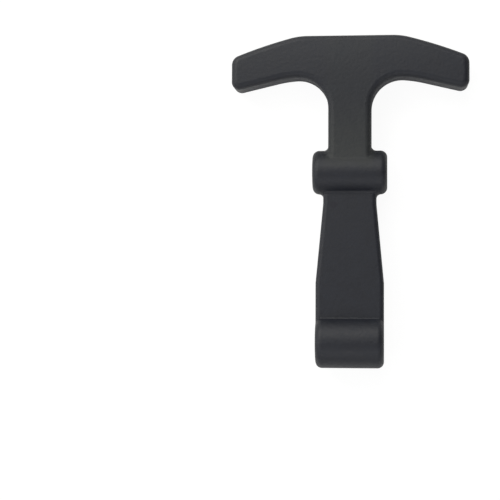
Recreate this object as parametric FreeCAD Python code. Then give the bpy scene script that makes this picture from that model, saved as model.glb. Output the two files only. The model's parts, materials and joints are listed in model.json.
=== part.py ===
"""Rubber T-handle draw latch, moulded in one piece.

Frame: millimetres, +Z up. The latch lies on its back. X runs along the pin
bore and the width of the handle, +Y runs from the pin eye to the handle.
The origin is under the middle of the latch, in the plane that it rests on.
"""

import FreeCAD
import Part
import math
import os

Vector = FreeCAD.Vector

# Pin eye: the round end that the bracket's pin passes through.
EYE_RADIUS = 11.1
EYE_LENGTH = 29.5
EYE_RIM = 2.8
PIN_BORE_RADIUS = 3.2

# Catch: the round bar that the keeper holds, and its distance from the pin.
CATCH_RADIUS = 9.5
CATCH_LENGTH = 32.3
CATCH_RIM = 2.9
PIN_TO_CATCH = 73.7

# Strap: the flat band between the pin eye and the catch. It is as wide as the
# eye is long, then tapers to a neck. The taper is measured from the pin. The
# band is centred on both rounds, so it falls a little from the eye to the catch.
STRAP_THICKNESS = 8.3
STRAP_NECK_WIDTH = 23.0
STRAP_TAPER_START = 25.6
STRAP_TAPER_LENGTH = 34.5
STRAP_EDGE = 2.0
STRAP_FILLET = 1.9
EYE_ROOT_RADIUS = 0.8

# Handle: the stem and the two arms that the fingers pull. Its back lies on the
# ground at the far edge and rises a little to where the stem meets the catch.
CATCH_TO_FAR_EDGE = 59.3
HANDLE_WIDTH = 102.6
HANDLE_THICKNESS = 16.5
HANDLE_EDGE = 2.7
FAR_THICKNESS = 15.1
CROWN_LENGTH = 14.0
STEM_THICKNESS = 17.4
STEM_BACK_RISE = 0.6
STEM_LENGTH = 30.0
STEM_WIDTH = 18.6
STEM_FILLET = 2.1
FAR_FLAT_WIDTH = 44.0
FAR_TURN_START = 14.0
FAR_TURN_END = 22.5
FAR_BEND_RADIUS = 28.0
TIP_DEPTH = 14.6
TIP_FAR_CORNER = 4.3
TIP_NEAR_CORNER = 3.4
ARM_TURN = 13.3
ARM_BLEND_TURN = 4.2
ARM_BLEND_RADIUS = 54.0
ARM_ROOT_RADIUS = 13.3

# Places along the latch.
LENGTH = EYE_RADIUS + PIN_TO_CATCH + CATCH_TO_FAR_EDGE
EYE_Y = EYE_RADIUS - LENGTH / 2
CATCH_Y = EYE_Y + PIN_TO_CATCH
FAR_Y = CATCH_Y + CATCH_TO_FAR_EDGE
STRAP_FALL = math.degrees(math.atan2(EYE_RADIUS - CATCH_RADIUS, PIN_TO_CATCH))

# Limits for telling edges and faces apart.
SAME_PLACE = 0.01
UPRIGHT_LIMIT = 0.3


def polar(centre, radius, degrees):
    """The point at a radius and an angle from a centre, in the XY plane."""
    turn = math.radians(degrees)
    return centre + Vector(math.cos(turn), math.sin(turn), 0) * radius


def arc(centre, radius, start, end):
    """An arc in the XY plane, from one angle to another in degrees."""
    middle = polar(centre, radius, (start + end) / 2)
    return Part.Arc(polar(centre, radius, start), middle, polar(centre, radius, end)).toShape()


def line(start, end):
    return Part.LineSegment(start, end).toShape()


def mirrored_face(half):
    """A flat face from the edges of its right half, which start and end on X = 0."""
    other = [edge.mirror(Vector(0, 0, 0), Vector(1, 0, 0)) for edge in half]
    return Part.Face(Part.Wire(Part.__sortEdges__(half + other)))


def is_wall(face):
    """True where a face stands upright."""
    u_low, u_high, v_low, v_high = face.ParameterRange
    normal = face.normalAt((u_low + u_high) / 2, (v_low + v_high) / 2)
    return abs(normal.z) < UPRIGHT_LIMIT


def rim_edges(solid, joined_places):
    """The edges where a side wall meets the front or the back, but not at the joined ends."""
    rims = []
    for edge in solid.Edges:
        walls = [is_wall(face) for face in solid.ancestorsOfType(edge, Part.Face)]
        joined = any(abs(edge.CenterOfMass.y - y) < SAME_PLACE for y in joined_places)
        if sorted(walls) == [False, True] and not joined:
            rims.append(edge)
    return rims


def upright_edges(solid, x, y_low, y_high):
    """The upright edges at +x and at -x, between two places along Y."""
    found = []
    for edge in solid.Edges:
        box = edge.BoundBox
        upright = box.XLength < SAME_PLACE and box.YLength < SAME_PLACE
        if upright and abs(abs(box.XMin) - x) < SAME_PLACE and y_low < box.YMin < y_high:
            found.append(edge)
    return found


def joint_edges(solid, y_low, y_high):
    """The edges where another form runs into the round of the catch, between two places on Y."""
    found = []
    for edge in solid.Edges:
        box = edge.BoundBox
        rounds = [face for face in solid.ancestorsOfType(edge, Part.Face)
                  if isinstance(face.Surface, Part.Cylinder)
                  and face.Surface.Axis.cross(Vector(1, 0, 0)).Length < SAME_PLACE]
        inner = max(-box.XMin, box.XMax) < CATCH_LENGTH / 2 - CATCH_RIM
        if len(rounds) == 1 and inner and y_low < box.YMin and box.YMax < y_high:
            found.append(edge)
    return found


def round_bar(radius, length, rim, y):
    """A bar along X that rests on the ground at y, with its two rims rounded."""
    bar = Part.makeCylinder(radius, length, Vector(-length / 2, y, radius), Vector(1, 0, 0))
    rims = [edge for edge in bar.Edges if isinstance(edge.Curve, Part.Circle)]
    return bar.makeFillet(rim, rims)


def handle_outline():
    """The handle from above: far edge, tip, near edge of the arm, stem."""
    tip_x = HANDLE_WIDTH / 2
    flat_x = FAR_FLAT_WIDTH / 2
    start, end = math.radians(FAR_TURN_START), math.radians(FAR_TURN_END)
    far_radius = (tip_x - flat_x) / (math.sin(end) - math.sin(start))
    far_bend = Vector(flat_x, FAR_Y, 0)
    far_centre = polar(far_bend, -far_radius, 90 - FAR_TURN_START)
    far_corner = polar(far_centre, far_radius, 90 - FAR_TURN_END)
    near_corner = far_corner - Vector(0, TIP_DEPTH, 0)

    # The near edge is drawn from the stem outwards, then lifted to meet the tip.
    stem_x = STEM_WIDTH / 2
    root = Vector(stem_x + ARM_ROOT_RADIUS, 0, 0)
    blend = polar(root, ARM_ROOT_RADIUS - ARM_BLEND_RADIUS, 90 - ARM_BLEND_TURN)
    arm = polar(blend, ARM_BLEND_RADIUS, 90 - ARM_TURN)
    arm_end_y = arm.y - (tip_x - arm.x) * math.tan(math.radians(ARM_TURN))
    lift = Vector(0, near_corner.y - arm_end_y, 0)
    root, blend, arm = root + lift, blend + lift, arm + lift
    stem_foot = Vector(stem_x, CATCH_Y, 0)
    return mirrored_face([
        line(Vector(0, FAR_Y, 0), far_bend),
        arc(far_centre, far_radius, 90 - FAR_TURN_START, 90 - FAR_TURN_END),
        line(far_corner, near_corner),
        line(near_corner, arm),
        arc(blend, ARM_BLEND_RADIUS, 90 - ARM_TURN, 90 - ARM_BLEND_TURN),
        arc(root, ARM_ROOT_RADIUS, 90 - ARM_BLEND_TURN, 180),
        line(polar(root, ARM_ROOT_RADIUS, 180), stem_foot),
        line(stem_foot, Vector(0, CATCH_Y, 0)),
    ])


def handle_side():
    """The handle from the side: a straight back, and a front that rises to the catch."""
    stem_front = STEM_BACK_RISE + STEM_THICKNESS
    heights = [stem_front, HANDLE_THICKNESS, HANDLE_THICKNESS, FAR_THICKNESS]
    places = [CATCH_Y, CATCH_Y + STEM_LENGTH, FAR_Y - CROWN_LENGTH, FAR_Y]
    side_x = -HANDLE_WIDTH / 2
    points = [Vector(side_x, y, z) for y, z in zip(places, heights)]
    front = Part.BSplineCurve()
    front.interpolate(points)
    near_foot = Vector(side_x, CATCH_Y, STEM_BACK_RISE)
    far_foot = Vector(side_x, FAR_Y, 0)
    return Part.Face(Part.Wire([
        front.toShape(),
        line(points[-1], far_foot),
        line(far_foot, near_foot),
        line(near_foot, points[0]),
    ]))


def make_handle():
    """The outline cut to the side profile, with its corners and edges rounded."""
    block = handle_outline().extrude(Vector(0, 0, 2 * STEM_THICKNESS))
    body = block.common(handle_side().extrude(Vector(HANDLE_WIDTH, 0, 0))).removeSplitter()
    tip_x = HANDLE_WIDTH / 2
    tips = upright_edges(body, tip_x, CATCH_Y, FAR_Y)
    middle_y = sum(edge.BoundBox.YMin for edge in tips) / len(tips)
    body = body.makeFillet(TIP_FAR_CORNER, upright_edges(body, tip_x, middle_y, FAR_Y))
    body = body.makeFillet(TIP_NEAR_CORNER, upright_edges(body, tip_x, CATCH_Y, middle_y))
    bends = upright_edges(body, FAR_FLAT_WIDTH / 2, FAR_Y - SAME_PLACE, FAR_Y + SAME_PLACE)
    body = body.makeFillet(FAR_BEND_RADIUS, bends)
    return body.makeFillet(HANDLE_EDGE, rim_edges(body, [CATCH_Y]))


def tipped_to_catch(solid):
    """A level form at the eye, turned about the pin until it points at the catch."""
    solid.rotate(Vector(0, EYE_Y, EYE_RADIUS), Vector(1, 0, 0), -STRAP_FALL)
    return solid


def make_strap():
    """The flat band: straight at the eye, tapered to a neck, with rounded long edges."""
    wide_x, neck_x = EYE_LENGTH / 2, STRAP_NECK_WIDTH / 2
    taper_y = EYE_Y + STRAP_TAPER_START
    neck_y = taper_y + STRAP_TAPER_LENGTH
    corners = [(0, EYE_Y), (wide_x, EYE_Y), (wide_x, taper_y), (neck_x, neck_y),
               (neck_x, CATCH_Y), (0, CATCH_Y)]
    back_z = EYE_RADIUS - STRAP_THICKNESS / 2
    points = [Vector(x, y, back_z) for x, y in corners]
    face = mirrored_face([line(a, b) for a, b in zip(points, points[1:])])
    body = face.extrude(Vector(0, 0, STRAP_THICKNESS)).removeSplitter()
    return tipped_to_catch(body.makeFillet(STRAP_EDGE, rim_edges(body, [EYE_Y, CATCH_Y])))


def eye_root():
    """The small hollow fillet where the front of the strap runs into the eye."""
    height = STRAP_THICKNESS / 2 + EYE_ROOT_RADIUS
    reach = math.sqrt((EYE_RADIUS + EYE_ROOT_RADIUS) ** 2 - height ** 2)
    half = EYE_LENGTH / 2 - STRAP_EDGE
    eye = Vector(-half, EYE_Y, EYE_RADIUS)
    centre = eye + Vector(0, reach, height)
    on_strap = centre - Vector(0, 0, EYE_ROOT_RADIUS)
    on_eye = centre + (eye - centre).normalize() * EYE_ROOT_RADIUS
    halfway = (on_strap - centre) + (on_eye - centre)
    middle = centre + halfway.normalize() * EYE_ROOT_RADIUS
    inside = eye + Vector(0, reach / 2, 0)
    face = Part.Face(Part.Wire([
        Part.Arc(on_strap, middle, on_eye).toShape(),
        line(on_eye, inside),
        line(inside, on_strap),
    ]))
    return tipped_to_catch(face.extrude(Vector(2 * half, 0, 0)))


def make_latch():
    catch = round_bar(CATCH_RADIUS, CATCH_LENGTH, CATCH_RIM, CATCH_Y)
    body = catch.fuse(make_handle()).removeSplitter()
    body = body.makeFillet(STEM_FILLET, joint_edges(body, CATCH_Y, FAR_Y))
    body = body.fuse(make_strap()).removeSplitter()
    body = body.makeFillet(STRAP_FILLET, joint_edges(body, EYE_Y, CATCH_Y))
    eye = round_bar(EYE_RADIUS, EYE_LENGTH, EYE_RIM, EYE_Y)
    body = body.fuse([eye, eye_root()])
    bore_start = Vector(-EYE_LENGTH, EYE_Y, EYE_RADIUS)
    bore = Part.makeCylinder(PIN_BORE_RADIUS, 2 * EYE_LENGTH, bore_start, Vector(1, 0, 0))
    return body.cut(bore).removeSplitter().Solids[0]


latch = make_latch()
os.makedirs("parts", exist_ok=True)
latch.exportStep("parts/latch.step")
print(f"latch: valid {latch.isValid()}, {latch.Volume / 1000:.1f} cm3, {len(latch.Faces)} faces")
print(f"{HANDLE_WIDTH:.1f} wide, {LENGTH:.1f} long, {2 * EYE_RADIUS:.1f} mm thick at the eye")
print(f"its weight is centred {latch.CenterOfMass.y - CATCH_Y:.2f} mm past the catch")
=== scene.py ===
# %% [markdown]
# # A rubber T draw latch
#
# A rubber draw latch holds a lid or a bonnet shut. One end has a round eye that turns on
# the pin of a bracket. A flat strap stretches from it to a round catch, which drops
# behind a forked keeper. Past the catch a short stem carries a T handle for the fingers.
#
# The whole latch is one moulding of black rubber, so its shape comes from the CAD model
# and stays as it is. What Blender adds is the look of moulded rubber, a table to lie on
# and the light of a small studio. The first cell loads the model and keeps its size.

# %% Load the CAD model
import json
import math

import bpy
from mathutils import Matrix, Vector


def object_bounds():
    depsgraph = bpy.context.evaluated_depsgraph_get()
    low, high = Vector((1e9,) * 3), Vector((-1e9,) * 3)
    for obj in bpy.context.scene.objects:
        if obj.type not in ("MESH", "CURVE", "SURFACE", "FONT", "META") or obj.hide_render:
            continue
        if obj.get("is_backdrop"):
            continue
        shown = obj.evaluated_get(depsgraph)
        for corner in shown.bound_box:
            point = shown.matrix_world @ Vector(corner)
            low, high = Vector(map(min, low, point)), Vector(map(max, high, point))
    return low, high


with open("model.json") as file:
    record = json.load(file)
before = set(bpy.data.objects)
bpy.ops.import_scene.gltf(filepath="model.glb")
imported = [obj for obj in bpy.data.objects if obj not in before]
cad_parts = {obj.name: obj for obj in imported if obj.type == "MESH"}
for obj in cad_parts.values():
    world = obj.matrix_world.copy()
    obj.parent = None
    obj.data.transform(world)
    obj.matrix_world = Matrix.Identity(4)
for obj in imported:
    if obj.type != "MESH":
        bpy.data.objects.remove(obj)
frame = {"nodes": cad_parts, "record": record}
latch = frame["nodes"]["latch"]
cad_low, cad_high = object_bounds()
cad_box = [list(cad_low), list(cad_high)]
MM_PER_M = 1000.0
print("latch measures", [round(MM_PER_M * (h - l), 1) for l, h in zip(cad_low, cad_high)], "mm")

# %% [markdown]
# ## Where things are on the latch
#
# A moulding gets its marks from its mould, so they sit at places that the mould's maker
# chose. The two places that matter are the axis of the pin eye and the axis of the
# catch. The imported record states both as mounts, so they are read from there rather than
# typed again.

# %% The two axes
mounts = {mount["name"]: Vector(mount["pos_m"]) for mount in frame["record"]["mounts"]}
eye_axis, catch_axis = mounts["pin_bore"], mounts["catch"]
for axis_name, axis in (("eye", eye_axis), ("catch", catch_axis)):
    print(axis_name, "axis lies at y", round(MM_PER_M * axis.y, 1), "mm")

# %% [markdown]
# ## The camera
#
# The latch lies on a table and is seen from almost straight above, from a little over
# half a metre. The camera stands slightly on the handle's right and slightly towards the
# eye, so the near walls of the two arms just show. A lens a good deal longer than normal
# keeps the perspective calm.
#
# A camera looks along its own -Z, so its Z axis points back from the table. The usual
# `to_track_quat` keeps the world's Z upwards in the picture, which means nothing to a
# camera that looks down. Here the picture's upward direction is +Y, towards the handle,
# so the three axes are built from that, and a small roll finishes the job.

# %% Camera
CAMERA_PLACE = Vector((0.01653, -0.03433, 0.63559))
CAMERA_AIM = Vector((-0.04407, -0.01766, 0.0))
CAMERA_ROLL = math.radians(0.15)
SENSOR_WIDTH_MM, LENS_MM = 36.0, 103.63
CAMERA_SHIFT = (-0.0019, -0.0139)
CLIP_NEAR, CLIP_FAR = 0.05, 20.0

camera_data = bpy.data.cameras.new("studio_camera")
camera_data.sensor_width = SENSOR_WIDTH_MM
camera_data.lens = LENS_MM
camera_data.shift_x, camera_data.shift_y = CAMERA_SHIFT
camera_data.clip_start, camera_data.clip_end = CLIP_NEAR, CLIP_FAR
camera = bpy.data.objects.new("studio_camera", camera_data)
bpy.context.scene.collection.objects.link(camera)
back = (CAMERA_PLACE - CAMERA_AIM).normalized()
right = Vector((0.0, 1.0, 0.0)).cross(back).normalized()
turn = Matrix((right, back.cross(right), back)).transposed().to_4x4()
camera.matrix_world = Matrix.Translation(CAMERA_PLACE) @ turn @ Matrix.Rotation(CAMERA_ROLL, 4, "Z")
bpy.context.scene.camera = camera
camera_reach = (CAMERA_PLACE - CAMERA_AIM).length
print("camera stands", round(MM_PER_M * camera_reach), "mm from the table point it looks at")

# %% [markdown]
# ## Helpers for shader nodes
#
# A material is a small network of nodes. Five short helpers keep the cells below easy to
# read. One adds a node with its settings, and one adds a Math node. One makes a named
# node group with its sockets, and one places that group in a material. The last makes a
# soft step from one value to another.

# %% Node helpers
def add_node(tree, kind, **settings):
    node = tree.nodes.new(kind)
    for name, value in settings.items():
        setattr(node, name, value)
    return node


def math_node(tree, operation, first, second=None, clamp=False):
    """A Math node whose inputs are plain numbers or other nodes' sockets."""
    node = add_node(tree, "ShaderNodeMath", operation=operation, use_clamp=clamp)
    for socket, value in zip(node.inputs, (first, second)):
        if isinstance(value, (int, float)):
            socket.default_value = value
        elif value is not None:
            tree.links.new(value, socket)
    return node.outputs[0]


def new_group(name, inputs, outputs):
    """A node group with float inputs {name: default} and outputs {name: socket type}."""
    group = bpy.data.node_groups.new(name, "ShaderNodeTree")
    for socket_name, default in inputs.items():
        socket = group.interface.new_socket(socket_name, in_out="INPUT", socket_type="NodeSocketFloat")
        socket.default_value = default
    for socket_name, socket_type in outputs.items():
        group.interface.new_socket(socket_name, in_out="OUTPUT", socket_type=socket_type)
    return group, group.nodes.new("NodeGroupInput"), group.nodes.new("NodeGroupOutput")


def place_group(tree, group, **values):
    """Puts a group into a material's tree, with its own values on the named sockets."""
    node = add_node(tree, "ShaderNodeGroup", node_tree=group)
    for name, value in values.items():
        node.inputs[name.replace("_", " ")].default_value = value
    return node


def faded(tree, value, near, far, first, last):
    """A soft step: first where the value is below near, last where it is beyond far."""
    step = add_node(tree, "ShaderNodeMapRange", interpolation_type="SMOOTHSTEP", clamp=True)
    for socket, number in (("From Min", near), ("From Max", far), ("To Min", first), ("To Max", last)):
        step.inputs[socket].default_value = number
    tree.links.new(value, step.inputs["Value"])
    return step.outputs["Result"]


# %% [markdown]
# ## Mottle, a group for both materials
#
# No real surface is one flat colour. Rubber carries a faint cloudiness where the mix and
# the release agent dried unevenly, and table paper has a soft pulp pattern. Both are two
# noises laid over each other: a broad one for the clouds and a fine one for the specks.
#
# The group measures in millimetres, because the object's own coordinates are in metres
# and a maker thinks of grain in millimetres. It puts out a value from 0 to 1 that
# averages one half.

# %% Mottle group
def make_mottle_group():
    group, ins, outs = new_group(
        "Mottle",
        {"Cloud mm": 12.0, "Speck mm": 0.8, "Speck share": 0.5},
        {"Value": "NodeSocketFloat"},
    )
    place = add_node(group, "ShaderNodeTexCoord").outputs["Object"]
    clouds = add_node(group, "ShaderNodeTexNoise")
    specks = add_node(group, "ShaderNodeTexNoise")
    clouds.inputs["Detail"].default_value = 3.0
    specks.inputs["Detail"].default_value = 2.0
    for noise, size in ((clouds, "Cloud mm"), (specks, "Speck mm")):
        group.links.new(place, noise.inputs["Vector"])
        group.links.new(math_node(group, "DIVIDE", MM_PER_M, ins.outputs[size]), noise.inputs["Scale"])
    mix = add_node(group, "ShaderNodeMix", data_type="FLOAT")
    group.links.new(ins.outputs["Speck share"], mix.inputs[0])
    group.links.new(clouds.outputs["Fac"], mix.inputs[2])
    group.links.new(specks.outputs["Fac"], mix.inputs[3])
    group.links.new(mix.outputs[0], outs.inputs["Value"])
    return group


mottle_group = make_mottle_group()
print("group", mottle_group.name, "has", len(mottle_group.nodes), "nodes")

# %% [markdown]
# ## The mould's parting line
#
# The latch is moulded between two halves that meet on a plane through both axes. A trace
# of rubber creeps between them and is trimmed off, which leaves a thin, slightly proud
# line along every side wall. The plane dips a little from the eye to the handle, because
# the catch bar is thinner than the eye and both lie on the same table.
#
# The group finds how far a point is from that plane and turns the distance into a soft
# mask. The faces of the latch never come near the plane except at its side walls, so the
# line shows only where a real one would.

# %% Parting line group
WANDER_SCALE = 160.0
WANDER_SPAN = 0.0002


def make_parting_group():
    group, ins, outs = new_group(
        "Parting line",
        {"Height": eye_axis.z, "Fall": 0.015, "Start": eye_axis.y, "Width mm": 0.35},
        {"Line": "NodeSocketFloat"},
    )
    place = add_node(group, "ShaderNodeTexCoord").outputs["Object"]
    split = add_node(group, "ShaderNodeSeparateXYZ")
    group.links.new(place, split.inputs[0])
    along = math_node(group, "SUBTRACT", split.outputs["Y"], ins.outputs["Start"])
    dip = math_node(group, "MULTIPLY", along, ins.outputs["Fall"])
    plane = math_node(group, "SUBTRACT", ins.outputs["Height"], dip)
    wander = add_node(group, "ShaderNodeTexNoise")
    wander.inputs["Scale"].default_value = WANDER_SCALE
    group.links.new(place, wander.inputs["Vector"])
    centred = math_node(group, "SUBTRACT", wander.outputs["Fac"], 0.5)
    drift = math_node(group, "MULTIPLY", centred, WANDER_SPAN)
    offset = math_node(group, "ADD", math_node(group, "SUBTRACT", split.outputs["Z"], plane), drift)
    distance_mm = math_node(group, "MULTIPLY", math_node(group, "ABSOLUTE", offset), MM_PER_M)
    share = math_node(group, "DIVIDE", distance_mm, ins.outputs["Width mm"])
    line = math_node(group, "SUBTRACT", 1.0, share, clamp=True)
    group.links.new(line, outs.inputs["Line"])
    return group


parting_group = make_parting_group()
parting_fall = (eye_axis.z - catch_axis.z) / (catch_axis.y - eye_axis.y)
print("parting plane falls", round(MM_PER_M * parting_fall, 1), "mm for each metre along the latch")

# %% [markdown]
# ## The ejector mark
#
# A pin in the mould pushes the soft moulding out, and leaves a small round dimple on the
# strap beside the catch. It is under 4 mm wide and hardly deep enough to feel, so it is
# painted as a disc that is slightly darker, duller and pressed in, not cut into the shape.

# %% Ejector mark group
RIM_STEEPNESS = 1.5


def make_disc_group():
    group, ins, outs = new_group(
        "Ejector mark",
        {"Across": 0.0, "Along": 0.0, "Radius mm": 1.0},
        {"Disc": "NodeSocketFloat"},
    )
    place = add_node(group, "ShaderNodeTexCoord").outputs["Object"]
    split = add_node(group, "ShaderNodeSeparateXYZ")
    group.links.new(place, split.inputs[0])
    across = math_node(group, "SUBTRACT", split.outputs["X"], ins.outputs["Across"])
    along = math_node(group, "SUBTRACT", split.outputs["Y"], ins.outputs["Along"])
    squares = math_node(group, "ADD", math_node(group, "MULTIPLY", across, across),
                        math_node(group, "MULTIPLY", along, along))
    distance_mm = math_node(group, "MULTIPLY", math_node(group, "SQRT", squares), MM_PER_M)
    inside = math_node(group, "SUBTRACT", ins.outputs["Radius mm"], distance_mm)
    soft = math_node(group, "MULTIPLY", inside, RIM_STEEPNESS, clamp=True)
    front = math_node(group, "GREATER_THAN", split.outputs["Z"], eye_axis.z)
    group.links.new(math_node(group, "MULTIPLY", soft, front), outs.inputs["Disc"])
    return group


disc_group = make_disc_group()
print("group", disc_group.name, "has", len(disc_group.nodes), "nodes")

# %% [markdown]
# ## Bloom and painted sheen
#
# Waxes and age resisters creep out of rubber and leave a faint greenish grey film on it,
# which is called bloom. It is thickest on the stem beside the catch, where the latch bends
# at each pull, and thinner on the handle, where hands rub it off again. The strap is
# stretched and wiped by the keeper, so it stays bare, blacker and a little bluer, and the
# eye is left bare too. The layer's lighter, greener colour is partly painted sheen: it
# stands in for some of the far lamps' highlight on the stem, the catch and the handle.
#
# The layer has no edge, so the mask is a colour ramp along the latch, times a soft fading
# to both sides, so that it is strongest along the middle. A broad noise first pushes each
# point a few millimetres, which makes the fading uneven.

# %% Bloom and painted sheen group
# The ramp and the side fading place the film and the painted sheen alike. The sheen is the far lamps'
# highlight on the stem and on the catch's far side.
BLOOM_AND_SHEEN_STOPS = [(0.0, 0.0), (0.10, 1.0), (0.28, 0.85), (0.60, 0.30), (1.0, 0.25)]
BLOOM_AND_SHEEN_HALF_WIDTH, BLOOM_AND_SHEEN_FADED_OUT = 0.0085, 0.0119
BLOOM_AND_SHEEN_BESIDE = 0.25
WAVER_SCALE, WAVER_DETAIL = 90.0, 4.0
WAVER_ACROSS = 0.4


def make_bloom_and_sheen_group():
    group, ins, outs = new_group(
        "Bloom and sheen",
        {"Start": 0.0, "Length": 0.06, "Waver mm": 6.0},
        {"Film and sheen": "NodeSocketFloat"},
    )
    place = add_node(group, "ShaderNodeTexCoord").outputs["Object"]
    split = add_node(group, "ShaderNodeSeparateXYZ")
    group.links.new(place, split.inputs[0])
    noise = add_node(group, "ShaderNodeTexNoise")
    noise.inputs["Scale"].default_value = WAVER_SCALE
    noise.inputs["Detail"].default_value = WAVER_DETAIL
    group.links.new(place, noise.inputs["Vector"])
    waver = math_node(group, "MULTIPLY", math_node(group, "SUBTRACT", noise.outputs["Fac"], 0.5),
                      math_node(group, "DIVIDE", ins.outputs["Waver mm"], MM_PER_M))
    from_start = math_node(group, "SUBTRACT", split.outputs["Y"], ins.outputs["Start"])
    along = math_node(group, "ADD", from_start, waver)
    share = math_node(group, "DIVIDE", along, ins.outputs["Length"], clamp=True)
    ramp = add_node(group, "ShaderNodeValToRGB")
    ramp.color_ramp.interpolation = "EASE"
    for position, film_and_sheen in BLOOM_AND_SHEEN_STOPS[1:-1]:
        ramp.color_ramp.elements.new(position)
    for element, (position, film_and_sheen) in zip(ramp.color_ramp.elements, BLOOM_AND_SHEEN_STOPS):
        element.position, element.color = position, (film_and_sheen, film_and_sheen, film_and_sheen, 1.0)
    group.links.new(share, ramp.inputs["Fac"])
    beside = math_node(group, "ADD", math_node(group, "ABSOLUTE", split.outputs["X"]),
                       math_node(group, "MULTIPLY", waver, WAVER_ACROSS))
    middle = faded(group, beside, BLOOM_AND_SHEEN_HALF_WIDTH, BLOOM_AND_SHEEN_FADED_OUT, 1.0, BLOOM_AND_SHEEN_BESIDE)
    film_and_sheen = math_node(group, "MULTIPLY", ramp.outputs["Color"], middle)
    group.links.new(film_and_sheen, outs.inputs["Film and sheen"])
    return group


bloom_and_sheen_group = make_bloom_and_sheen_group()
print("group", bloom_and_sheen_group.name, "has", len(BLOOM_AND_SHEEN_STOPS), "stops along the latch")

# %% [markdown]
# ## The colour of moulded rubber
#
# Black EPDM rubber has hardly any colour under its soft, broad sheen, so the sheen does
# most of the work. The colour is a near black that the mottle lightens and darkens. The
# bloom layer turns it lighter and greener, partly as a film and partly as painted sheen
# of the far lamps. The trimmed parting line is a little paler, because trimming bares
# fresh rubber, and the ejector mark is a little darker.
#
# Each layer is one Mix node over the one before it, with a mask as its factor. That keeps
# the order plain, and any layer can be turned down by its own share.

# %% Rubber colours
BARE_DARK = (0.0001, 0.0012, 0.0061, 1.0)
BARE_LIGHT = (0.0015, 0.0032, 0.0091, 1.0)
# The two layer colours are lighter and greener than bare rubber. They are partly a bloom film and partly
# the far lamps' sheen, painted in.
BLOOM_AND_SHEEN_DARK = (0.0068, 0.0088, 0.0110, 1.0)
BLOOM_AND_SHEEN_LIGHT = (0.0120, 0.0140, 0.0148, 1.0)
PARTING_TINT = (0.0120, 0.0130, 0.0160, 1.0)
MARK_TINT = (0.0000, 0.0002, 0.0058, 1.0)
PARTING_SHARE, MARK_SHARE = 0.6, 0.9
CLOUD_LOW, CLOUD_HIGH = 0.40, 0.60


def mix_colours(tree, share, first, second):
    """A colour Mix node whose inputs are plain colours or other nodes' sockets."""
    mix = add_node(tree, "ShaderNodeMix", data_type="RGBA")
    for socket, value in zip((mix.inputs[0], mix.inputs[6], mix.inputs[7]), (share, first, second)):
        if isinstance(value, (tuple, float)):
            socket.default_value = value
        else:
            tree.links.new(value, socket)
    return mix.outputs[2]


def stretched(tree, value, low, high):
    """Stretches a narrow band of values, low to high, over 0 to 1."""
    band = add_node(tree, "ShaderNodeMapRange", clamp=True)
    band.inputs["From Min"].default_value, band.inputs["From Max"].default_value = low, high
    tree.links.new(value, band.inputs["Value"])
    return band.outputs["Result"]


def rubber_colour(tree, mottle, line, disc, bloom_and_sheen):
    """Bare rubber, then the lighter layer of waxy coat and painted sheen, then the parting line and the
    ejector mark.
    """
    cloud = stretched(tree, mottle, CLOUD_LOW, CLOUD_HIGH)
    bare = mix_colours(tree, cloud, BARE_DARK, BARE_LIGHT)
    film_and_sheen_colour = mix_colours(tree, cloud, BLOOM_AND_SHEEN_DARK, BLOOM_AND_SHEEN_LIGHT)
    # Where the mask is strong, the lighter colour is partly painted sheen.
    colour = mix_colours(tree, bloom_and_sheen, bare, film_and_sheen_colour)
    trimmed = math_node(tree, "MULTIPLY", line, PARTING_SHARE)
    pressed = math_node(tree, "MULTIPLY", disc, MARK_SHARE)
    return mix_colours(tree, pressed, mix_colours(tree, trimmed, colour, PARTING_TINT), MARK_TINT)


print("rubber has", len((BARE_DARK, BARE_LIGHT, BLOOM_AND_SHEEN_DARK, BLOOM_AND_SHEEN_LIGHT)), "colours and two tints")

# %% [markdown]
# ## The skin of moulded rubber
#
# The mould was blasted, which gives a fine bite that a fingertip can feel. Under it the
# skin of the rubber is never quite flat, but dimpled a few hundredths of a millimetre
# deep every millimetre or two, like orange peel. The bite widens the sheen and the peel
# breaks it up. The keeper has rubbed the strap, so only three fifths of both are left
# there, and a soft step along the latch says where.
#
# Relief this shallow never shows in the outline, so it is a height for a Bump node. The
# parting line stands out of it a little and the ejector mark is pressed in.

# %% Rubber skin
PEEL_MM, BITE_MM = 1.4, 0.5
BITE_SHARE = 0.12
SKIN_DETAIL = 1.5
SKIN_DEPTH = 0.00010
STRAP_SKIN = 0.60
RUBBED_HALF, RUBBED_END = 0.022, 0.029
LINE_RISE, MARK_DIP = 0.60, 0.12


def rubber_height(tree, line, disc):
    """The height of the skin, as a share of SKIN_DEPTH."""
    place = add_node(tree, "ShaderNodeTexCoord").outputs["Object"]
    noises = []
    for size in (PEEL_MM, BITE_MM):
        noise = add_node(tree, "ShaderNodeTexNoise")
        noise.inputs["Scale"].default_value = MM_PER_M / size
        noise.inputs["Detail"].default_value = SKIN_DETAIL
        tree.links.new(place, noise.inputs["Vector"])
        noises.append(noise.outputs["Fac"])
    peel, bite = noises
    skin = math_node(tree, "ADD", peel, math_node(tree, "MULTIPLY", bite, BITE_SHARE))

    split = add_node(tree, "ShaderNodeSeparateXYZ")
    tree.links.new(place, split.inputs[0])
    strap_middle = (eye_axis.y + catch_axis.y) / 2
    from_middle = math_node(tree, "ABSOLUTE", math_node(tree, "SUBTRACT", split.outputs["Y"], strap_middle))
    skin_left = faded(tree, from_middle, RUBBED_HALF, RUBBED_END, STRAP_SKIN, 1.0)
    height = math_node(tree, "MULTIPLY", skin, skin_left)
    height = math_node(tree, "ADD", height, math_node(tree, "MULTIPLY", line, LINE_RISE))
    return math_node(tree, "SUBTRACT", height, math_node(tree, "MULTIPLY", disc, MARK_DIP))


print("skin is dimpled every", PEEL_MM, "mm and bitten every", BITE_MM, "mm")

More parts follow.
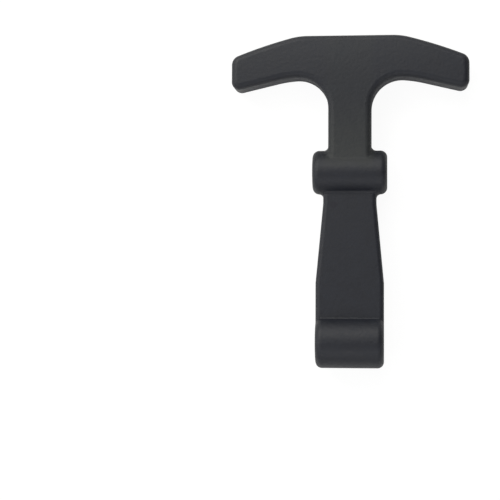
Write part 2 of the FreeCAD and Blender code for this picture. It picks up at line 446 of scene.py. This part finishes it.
# %% [markdown]
# ## The material
#
# The colour, the skin and the four masks come together in one Principled shader. The
# roughness follows the mottle a little, and both the film and the ejector mark are duller
# than the rubber beside them.
#
# Numbers that are the same all over, such as the specular level, are set straight on the
# shader's own sockets, so that they survive an export.

# %% Rubber material
RUBBER_ROUGHNESS, RUBBER_SPECULAR = 0.60, 0.5
MOTTLE_SWING, MARK_DULLS, BLOOM_DULLS = 0.25, 0.06, 0.06
MARK_ACROSS, MARK_FROM_CATCH = -0.0070, 0.0143
BLOOM_AND_SHEEN_LENGTH = 0.060


def make_rubber():
    material = bpy.data.materials.new("moulded_rubber")
    material.use_nodes = True
    tree = material.node_tree
    shader = tree.nodes["Principled BSDF"]
    shader.inputs["Specular IOR Level"].default_value = RUBBER_SPECULAR

    mottle = place_group(tree, mottle_group, Cloud_mm=9.0, Speck_mm=1.6, Speck_share=0.6).outputs["Value"]
    line = place_group(tree, parting_group, Fall=parting_fall).outputs["Line"]
    disc = place_group(tree, disc_group, Across=MARK_ACROSS, Along=catch_axis.y - MARK_FROM_CATCH,
                       Radius_mm=1.9).outputs["Disc"]
    # This mask lays painted sheen into the colour as well as film.
    bloom_and_sheen = place_group(tree, bloom_and_sheen_group, Start=catch_axis.y, Length=BLOOM_AND_SHEEN_LENGTH).outputs["Film and sheen"]
    tree.links.new(rubber_colour(tree, mottle, line, disc, bloom_and_sheen), shader.inputs["Base Color"])

    swing = math_node(tree, "MULTIPLY", math_node(tree, "SUBTRACT", mottle, 0.5), MOTTLE_SWING)
    dulled = math_node(tree, "ADD", swing, math_node(tree, "MULTIPLY", disc, MARK_DULLS))
    dulled = math_node(tree, "ADD", dulled, math_node(tree, "MULTIPLY", bloom_and_sheen, BLOOM_DULLS))
    tree.links.new(math_node(tree, "ADD", dulled, RUBBER_ROUGHNESS), shader.inputs["Roughness"])

    bump = add_node(tree, "ShaderNodeBump")
    bump.inputs["Strength"].default_value = 1.0
    bump.inputs["Distance"].default_value = SKIN_DEPTH
    tree.links.new(rubber_height(tree, line, disc), bump.inputs["Height"])
    tree.links.new(bump.outputs["Normal"], shader.inputs["Normal"])
    return material


rubber = make_rubber()
for slot in latch.material_slots:
    slot.material = rubber
print("rubber has", len(rubber.node_tree.nodes), "nodes, on", len(latch.material_slots), "slot")

# %% [markdown]
# ## The table
#
# The latch lies on a plain white sheet. One large flat face is enough, since its edge is
# never in view. A nearly white matt finish bounces soft light up on to the walls of the
# latch, and that bounce is what separates a dark object from the ground under it.
#
# A catalogue maker overexposes such a sheet until its shadows burn out to white. The same
# exposure would turn black rubber grey here, so the sheet does it alone: a Light Path
# node tells the camera's rays from the light's. For the camera the sheet glows an even
# white with a trace of its shadows, and for the latch it is plain paper with a little of
# that glow. The paper's pulp comes from the Mottle group, in broader clouds.

# %% Table
TABLE_HALF = 4.0
PAPER_PALE = (0.92, 0.92, 0.92, 1.0)
PAPER_DEEP = (0.88, 0.88, 0.87, 1.0)
SHADOW_TRACE = 0.10
CAMERA_GLOW = (0.93, 0.93, 0.93, 1.0)
LATCH_GLOW = (0.12, 0.12, 0.12, 1.0)
UNLIT = (0.0, 0.0, 0.0, 1.0)
PAPER_ROUGHNESS, PAPER_SPECULAR = 0.9, 0.1

table_mesh = bpy.data.meshes.new("table_top")
corners = [(-TABLE_HALF, -TABLE_HALF, 0), (TABLE_HALF, -TABLE_HALF, 0),
           (TABLE_HALF, TABLE_HALF, 0), (-TABLE_HALF, TABLE_HALF, 0)]
table_mesh.from_pydata(corners, [], [(0, 1, 2, 3)])
table = bpy.data.objects.new("table_top", table_mesh)
bpy.context.scene.collection.objects.link(table)


def make_paper():
    material = bpy.data.materials.new("white_paper")
    material.use_nodes = True
    tree = material.node_tree
    shader = tree.nodes["Principled BSDF"]
    shader.inputs["Roughness"].default_value = PAPER_ROUGHNESS
    shader.inputs["Specular IOR Level"].default_value = PAPER_SPECULAR
    shader.inputs["Emission Strength"].default_value = 1.0
    pulp = place_group(tree, mottle_group, Cloud_mm=40.0, Speck_mm=1.5, Speck_share=0.7).outputs["Value"]
    paper = mix_colours(tree, pulp, PAPER_DEEP, PAPER_PALE)
    for_camera = add_node(tree, "ShaderNodeLightPath").outputs["Is Camera Ray"]
    faint = mix_colours(tree, SHADOW_TRACE, UNLIT, paper)
    tree.links.new(mix_colours(tree, for_camera, paper, faint), shader.inputs["Base Color"])
    tree.links.new(mix_colours(tree, for_camera, LATCH_GLOW, CAMERA_GLOW), shader.inputs["Emission Color"])
    return material


table_mesh.materials.append(make_paper())
table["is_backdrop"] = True
print("table is", 2 * TABLE_HALF, "m wide")

# %% [markdown]
# ## The light
#
# Black rubber has almost no colour of its own, so what is seen is mostly the studio
# reflected in its broad sheen. Round soft boxes stand in a ring about the table, most of
# them at 50 degrees from straight up. The strongest are beyond the handle and to
# its left: they draw the highlight along the far side of the catch and the eye. Weaker
# ones on the near side fill the walls. No box stands straight to the right, so every edge
# that faces right falls away into the dark and the latch gets its shape. Of the three boxes
# out of the ring, one hangs higher up and two stand low, on the left and beyond the
# handle, to catch the rounded edges there. Two far boxes are a touch warmer than the rest.
#
# Directions are given in degrees from straight beyond the handle, turning to the left.
# The boxes are hidden from the camera, because a studio keeps its lamps out of view.

# %% Lights
BOX_DISTANCE = 1.2
BOX_WIDTH = 0.57
SOFT_BOXES = {
    "high_box": (30, 25, 2.3),
    "far_box": (0, 50, 4.8),
    "far_left_box": (45, 50, 7.7),
    "left_box": (90, 50, 2.1),
    "low_left_box": (90, 75, 1.4),
    "low_far_box": (15, 78, 0.9),
    "near_left_box": (135, 50, 3.1),
    "near_box": (180, 50, 3.4),
    "near_right_box": (225, 50, 2.6),
    "far_right_box": (315, 50, 1.0),
}
WHITE = (1.0, 1.0, 1.0)
WARM_BOXES = {"far_left_box": (1.0, 0.98, 0.88), "far_right_box": (1.0, 0.90, 0.76)}


def soft_box(name, turn, lean, watts):
    data = bpy.data.lights.new(name, "AREA")
    data.shape = "DISK"
    data.size = BOX_WIDTH
    data.energy = watts
    data.color = WARM_BOXES.get(name, WHITE)
    box = bpy.data.objects.new(name, data)
    bpy.context.scene.collection.objects.link(box)
    turn, lean = math.radians(turn), math.radians(lean)
    place = BOX_DISTANCE * Vector((-math.sin(lean) * math.sin(turn), math.sin(lean) * math.cos(turn),
                                   math.cos(lean)))
    box.matrix_world = Matrix.Translation(place) @ (-place).to_track_quat("-Z", "Y").to_matrix().to_4x4()
    box.visible_camera = False
    return box


for name, (turn, lean, watts) in SOFT_BOXES.items():
    soft_box(name, turn, lean, watts)
total_watts = sum(watts for turn, lean, watts in SOFT_BOXES.values())
print("studio has", len(SOFT_BOXES), "soft boxes,", round(total_watts, 1), "W in all")

# %% [markdown]
# The walls of the studio are too far off to light the latch, but they would be a black hole
# behind it from low down. So the world does as the sheet does: it is pale for the camera
# and nearly off for everything else.

# %% Studio air
AIR_FOR_CAMERA = (0.95, 0.95, 0.95, 1.0)
AIR_FOR_LATCH = (0.02, 0.02, 0.02, 1.0)

world = bpy.data.worlds.new("studio_air")
world.use_nodes = True
air = world.node_tree
seen = add_node(air, "ShaderNodeLightPath").outputs["Is Camera Ray"]
air_colour = mix_colours(air, seen, AIR_FOR_LATCH, AIR_FOR_CAMERA)
air.links.new(air_colour, air.nodes["Background"].inputs["Color"])
bpy.context.scene.world = world
print("studio air is", AIR_FOR_CAMERA[0], "to the camera and", AIR_FOR_LATCH[0], "to the latch")

# %% [markdown]
# ## Showing the picture as a camera would
#
# The plain "Standard" view keeps white paper white and black rubber black, where a film
# look would turn both towards grey.

# %% View
bpy.context.scene.view_settings.view_transform = "Standard"
bpy.context.scene.view_settings.look = "None"
print("view transform:", bpy.context.scene.view_settings.view_transform)

# %% [markdown]
# ## Checking the size
#
# The box of the visual model is measured again and held against the box of the CAD
# model, and the largest difference between their corners is printed.

# %% Sizes and finish
seen_low, seen_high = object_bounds()
seen_box = [list(seen_low), list(seen_high)]
largest = max(abs(a - b) for corner_pair in zip(cad_box, seen_box) for a, b in zip(*corner_pair))
print("visual box differs by", round(MM_PER_M * largest, 3), "mm at most")
